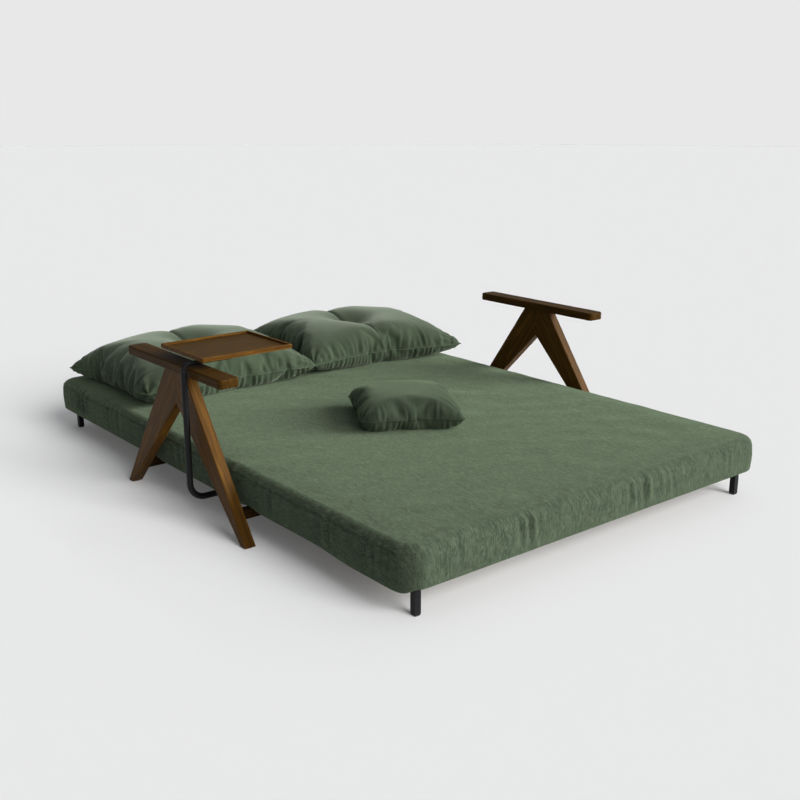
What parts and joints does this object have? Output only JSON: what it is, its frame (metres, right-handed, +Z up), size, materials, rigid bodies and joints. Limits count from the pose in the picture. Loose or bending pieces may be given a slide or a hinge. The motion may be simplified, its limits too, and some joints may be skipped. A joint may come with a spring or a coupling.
{
  "type": "sofa bed",
  "caption": "Low fold-out sofa bed shown flat: upholstered slab, A-shaped wooden arms, back cushions, throw pillow and a swivel side tray.",
  "frame": {"origin": "on the floor, under the middle of the box around the whole sofa bed", "axes": "+Z up, +Y from the foot of the bed to the back cushions, +X to the right armrest"},
  "size_m": [1.546, 2.02, 0.49],
  "materials": {
    "fabric_green": "short mottled pile",
    "foam_cream": "plain",
    "walnut": "satin oiled",
    "birch": "satin",
    "black_steel": "satin",
    "bright_steel": "brushed",
    "black_plastic": "matte",
    "felt": "felt"
  },
  "bodies": {
    "seat_base": {"armrest_dowels": "birch", "back_hinge_pins": "bright_steel", "back_hinge_seat_leaves": "black_steel", "clamp_screws": "bright_steel", "foot_hinge_pins": "bright_steel", "foot_hinge_seat_leaves": "black_steel", "frame_bolts": "bright_steel", "front_stretcher": "walnut", "left_armrest": "walnut", "left_front_arm_leg": "walnut", "left_rear_arm_leg": "walnut", "mitre_dowels": "birch", "rear_stretcher": "walnut", "right_armrest": "walnut", "right_front_arm_leg": "walnut", "right_rear_arm_leg": "walnut", "seat_cover": "fabric_green", "seat_end_rails": "black_steel", "seat_foam": "foam_cream", "seat_side_rails": "black_steel", "seat_slats": "birch", "side_frame_glides": "felt", "stretcher_dowels": "birch", "table_bushes": "black_plastic", "table_tube": "black_steel", "throw_pillow": "fabric_green", "tube_clamps": "black_steel"},
    "foot_section": {"foot_cover": "fabric_green", "foot_end_rails": "black_steel", "foot_foam": "foam_cream", "foot_hinge_foot_leaves": "black_steel", "foot_leg_glides": "black_plastic", "foot_leg_screws": "bright_steel", "foot_side_rails": "black_steel", "foot_slats": "birch", "front_left_leg": "black_steel", "front_right_leg": "black_steel"},
    "back_section": {"back_cover": "fabric_green", "back_end_rails": "black_steel", "back_foam": "foam_cream", "back_hinge_back_leaves": "black_steel", "back_left_leg": "black_steel", "back_leg_glides": "black_plastic", "back_leg_screws": "bright_steel", "back_right_leg": "black_steel", "back_side_rails": "black_steel", "back_slats": "birch", "left_back_cushion": "fabric_green", "right_back_cushion": "fabric_green"},
    "tray_arm": {"table_neck": "black_steel", "tray_mount_plate": "black_steel", "tray_panel": "walnut", "tray_rim": "walnut", "tray_screws": "bright_steel"}
  },
  "joints": [
    {"name": "foot_fold", "type": "hinge", "parent": "seat_base", "child": "foot_section", "pos_m": [0.011, -0.445, 0.177], "axis": [-1, 0, 0], "range_deg": [0, 90]},
    {"name": "back_fold", "type": "hinge", "parent": "seat_base", "child": "back_section", "pos_m": [0.011, 0.345, 0.177], "axis": [1, 0, 0], "range_deg": [0, 75]},
    {"name": "tray_swivel", "type": "hinge", "parent": "seat_base", "child": "tray_arm", "pos_m": [-0.764, -0.144, 0.46], "axis": [0, 0, 1], "range_deg": [-40, 180]}
  ]
}
